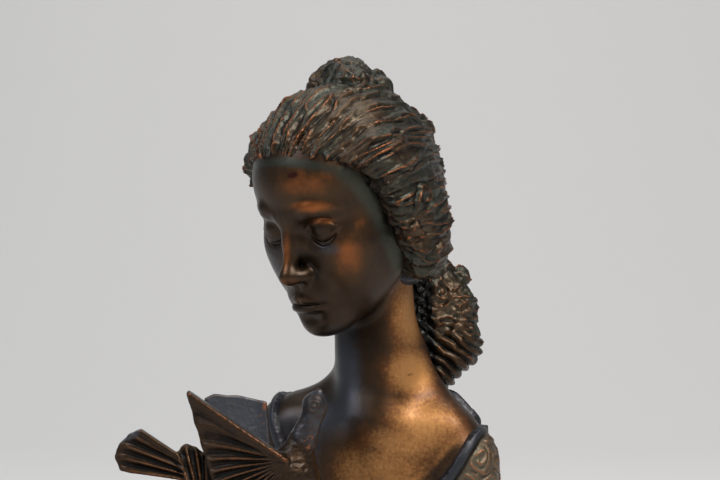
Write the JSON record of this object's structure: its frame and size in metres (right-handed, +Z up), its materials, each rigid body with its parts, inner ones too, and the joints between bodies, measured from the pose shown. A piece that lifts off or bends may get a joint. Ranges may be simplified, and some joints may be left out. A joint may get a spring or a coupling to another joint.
{
  "type": "bronze bust",
  "caption": "Patinated bronze bust of a woman with swept-up hair, her head bowed over a dove on her right hand, cut flat below.",
  "frame": {"origin": "on the flat underside, below the middle of the neck", "axes": "+Z up, -Y towards the side that the picture shows, +X to the right of the picture"},
  "size_m": [0.1416, 0.0978, 0.2081],
  "materials": {
    "patinated_bronze": "dark patina, rubbed to copper on the crests"
  },
  "bodies": {
    "root": {"woman_with_dove": "patinated_bronze"}
  },
  "joints": []
}
